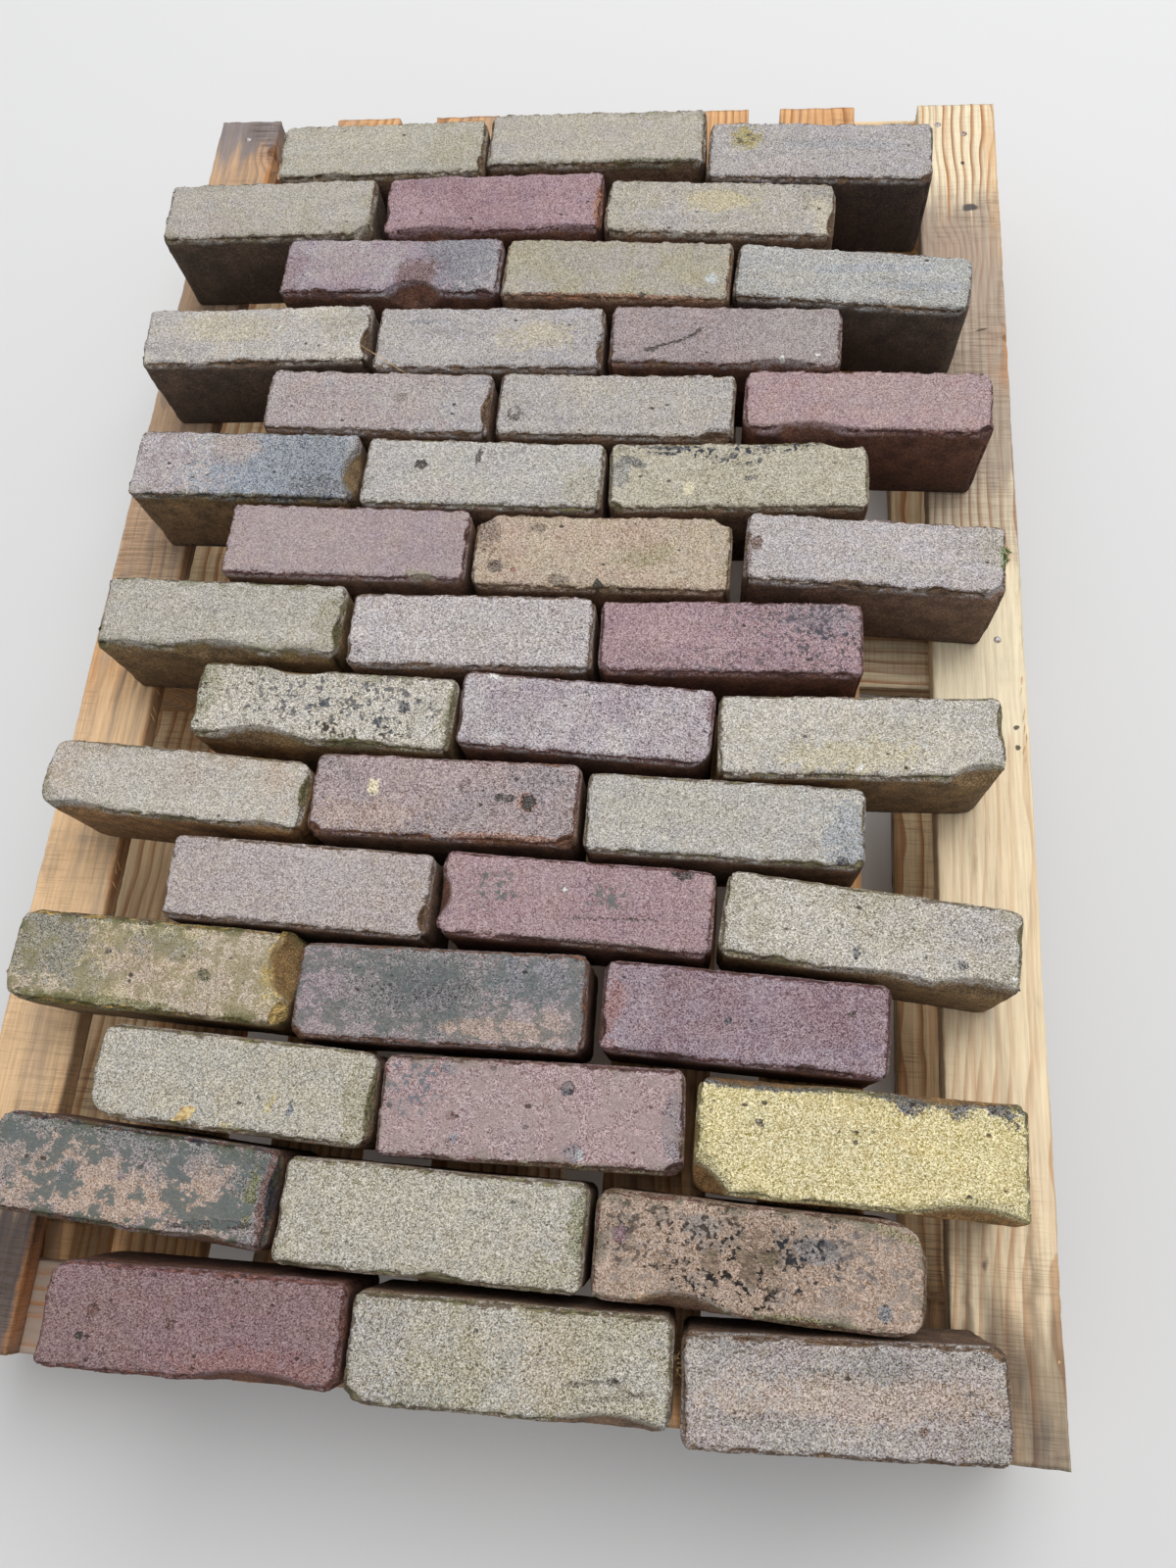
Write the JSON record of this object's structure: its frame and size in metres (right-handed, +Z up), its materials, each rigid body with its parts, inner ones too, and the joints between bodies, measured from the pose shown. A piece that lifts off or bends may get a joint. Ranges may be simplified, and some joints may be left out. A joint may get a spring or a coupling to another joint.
{
  "type": "pallet of bricks",
  "caption": "One course of reclaimed solid clay paving bricks standing on edge in running bond on a worn wooden block pallet.",
  "frame": {"origin": "on the floor, under the centre of the pallet", "axes": "+X across the pallet to the right seen from its near end, +Y along the pallet towards the far row of bricks, +Z up"},
  "size_m": [0.81, 1.2, 0.217],
  "materials": {
    "brick": "matte",
    "pallet_wood": "matte"
  },
  "bodies": {
    "root": {"brick_row_01": "brick", "brick_row_02": "brick", "brick_row_03": "brick", "brick_row_04": "brick", "brick_row_05": "brick", "brick_row_06": "brick", "brick_row_07": "brick", "brick_row_08": "brick", "brick_row_09": "brick", "brick_row_10": "brick", "brick_row_11": "brick", "brick_row_12": "brick", "brick_row_13": "brick", "brick_row_14": "brick", "brick_row_15": "brick", "deck_board_1": "pallet_wood", "deck_board_2": "pallet_wood", "deck_board_3": "pallet_wood", "deck_board_4": "pallet_wood", "deck_board_5": "pallet_wood", "deck_board_6": "pallet_wood", "deck_board_7": "pallet_wood", "cross_board_near": "pallet_wood", "cross_board_middle": "pallet_wood", "cross_board_far": "pallet_wood", "block_near_left": "pallet_wood", "block_near_middle": "pallet_wood", "block_near_right": "pallet_wood", "block_middle_left": "pallet_wood", "block_middle_middle": "pallet_wood", "block_middle_right": "pallet_wood", "block_far_left": "pallet_wood", "block_far_middle": "pallet_wood", "block_far_right": "pallet_wood", "bottom_board_left": "pallet_wood", "bottom_board_middle": "pallet_wood", "bottom_board_right": "pallet_wood"}
  },
  "joints": []
}
